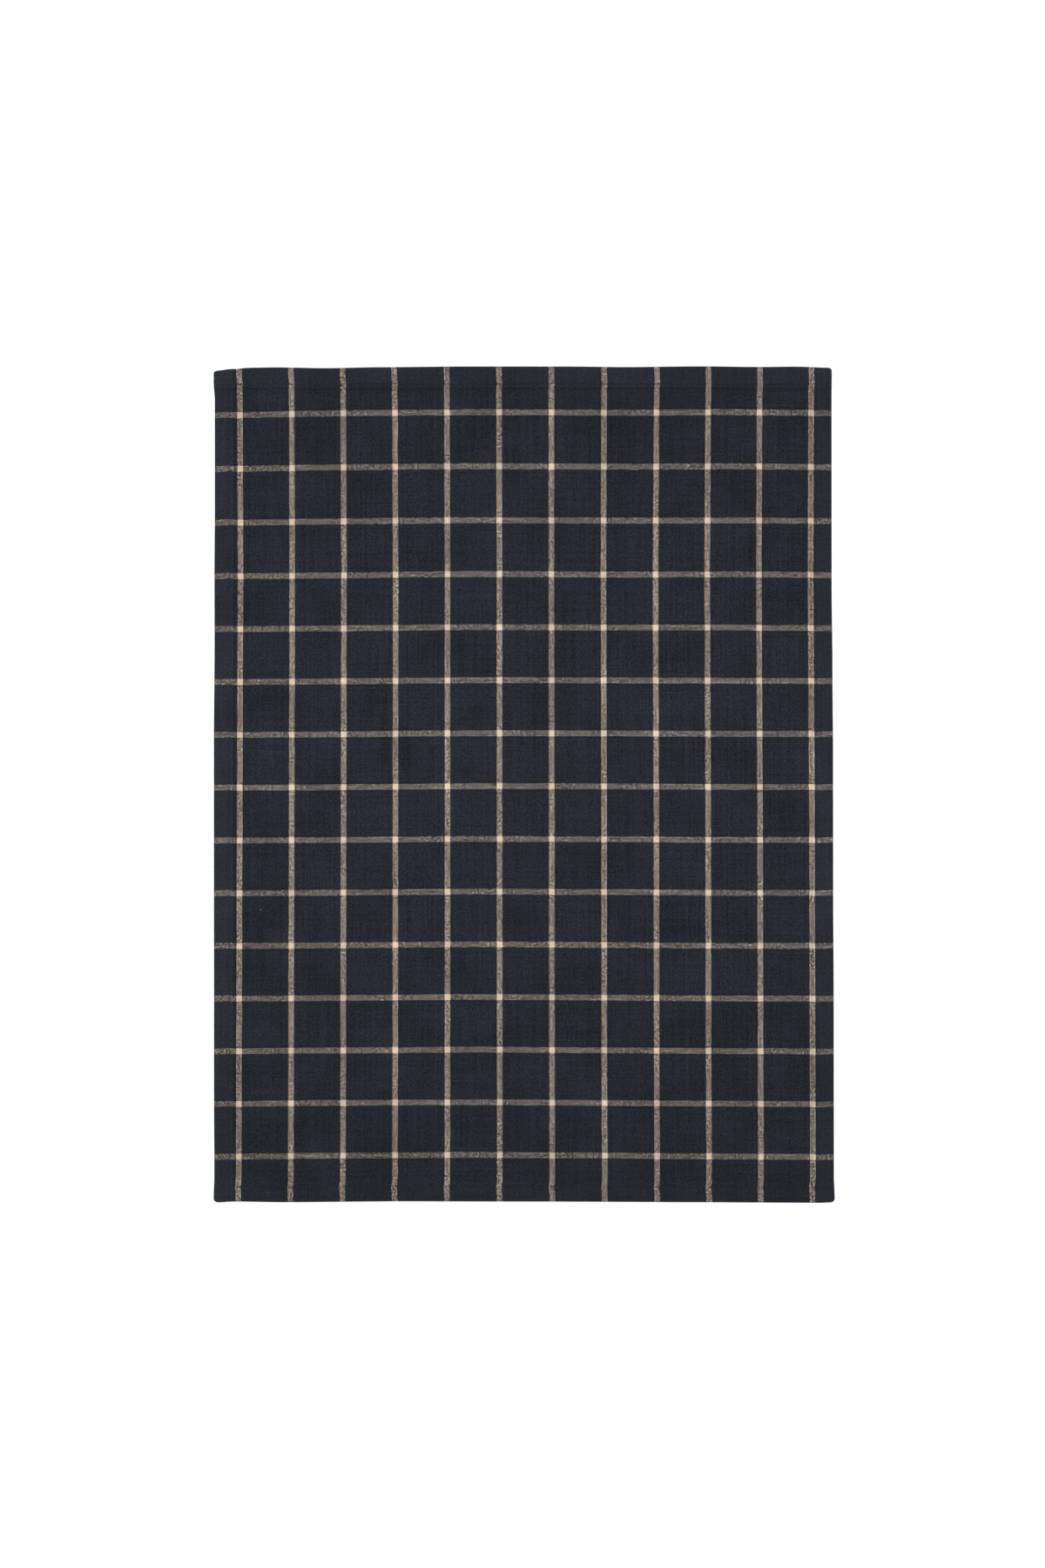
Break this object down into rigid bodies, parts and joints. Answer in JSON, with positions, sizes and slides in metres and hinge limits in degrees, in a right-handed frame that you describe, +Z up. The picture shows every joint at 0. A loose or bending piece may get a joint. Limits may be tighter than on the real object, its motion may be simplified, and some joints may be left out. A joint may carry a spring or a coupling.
{
  "type": "tea towel",
  "caption": "Rectangular checked cotton tea towel, turned and sewn on all sides, lying flat with its face up, for drying dishes.",
  "frame": {"origin": "middle of the towel's box on the surface that it lies on", "axes": "+Y along the towel's long side, +X across it, +Z up out of its face"},
  "size_m": [0.5202, 0.7006, 0.0031],
  "materials": {
    "checked_twill": "matte yarn-dyed cotton twill, navy with a beige windowpane check"
  },
  "bodies": {
    "root": {"cloth": "checked_twill"}
  },
  "joints": []
}
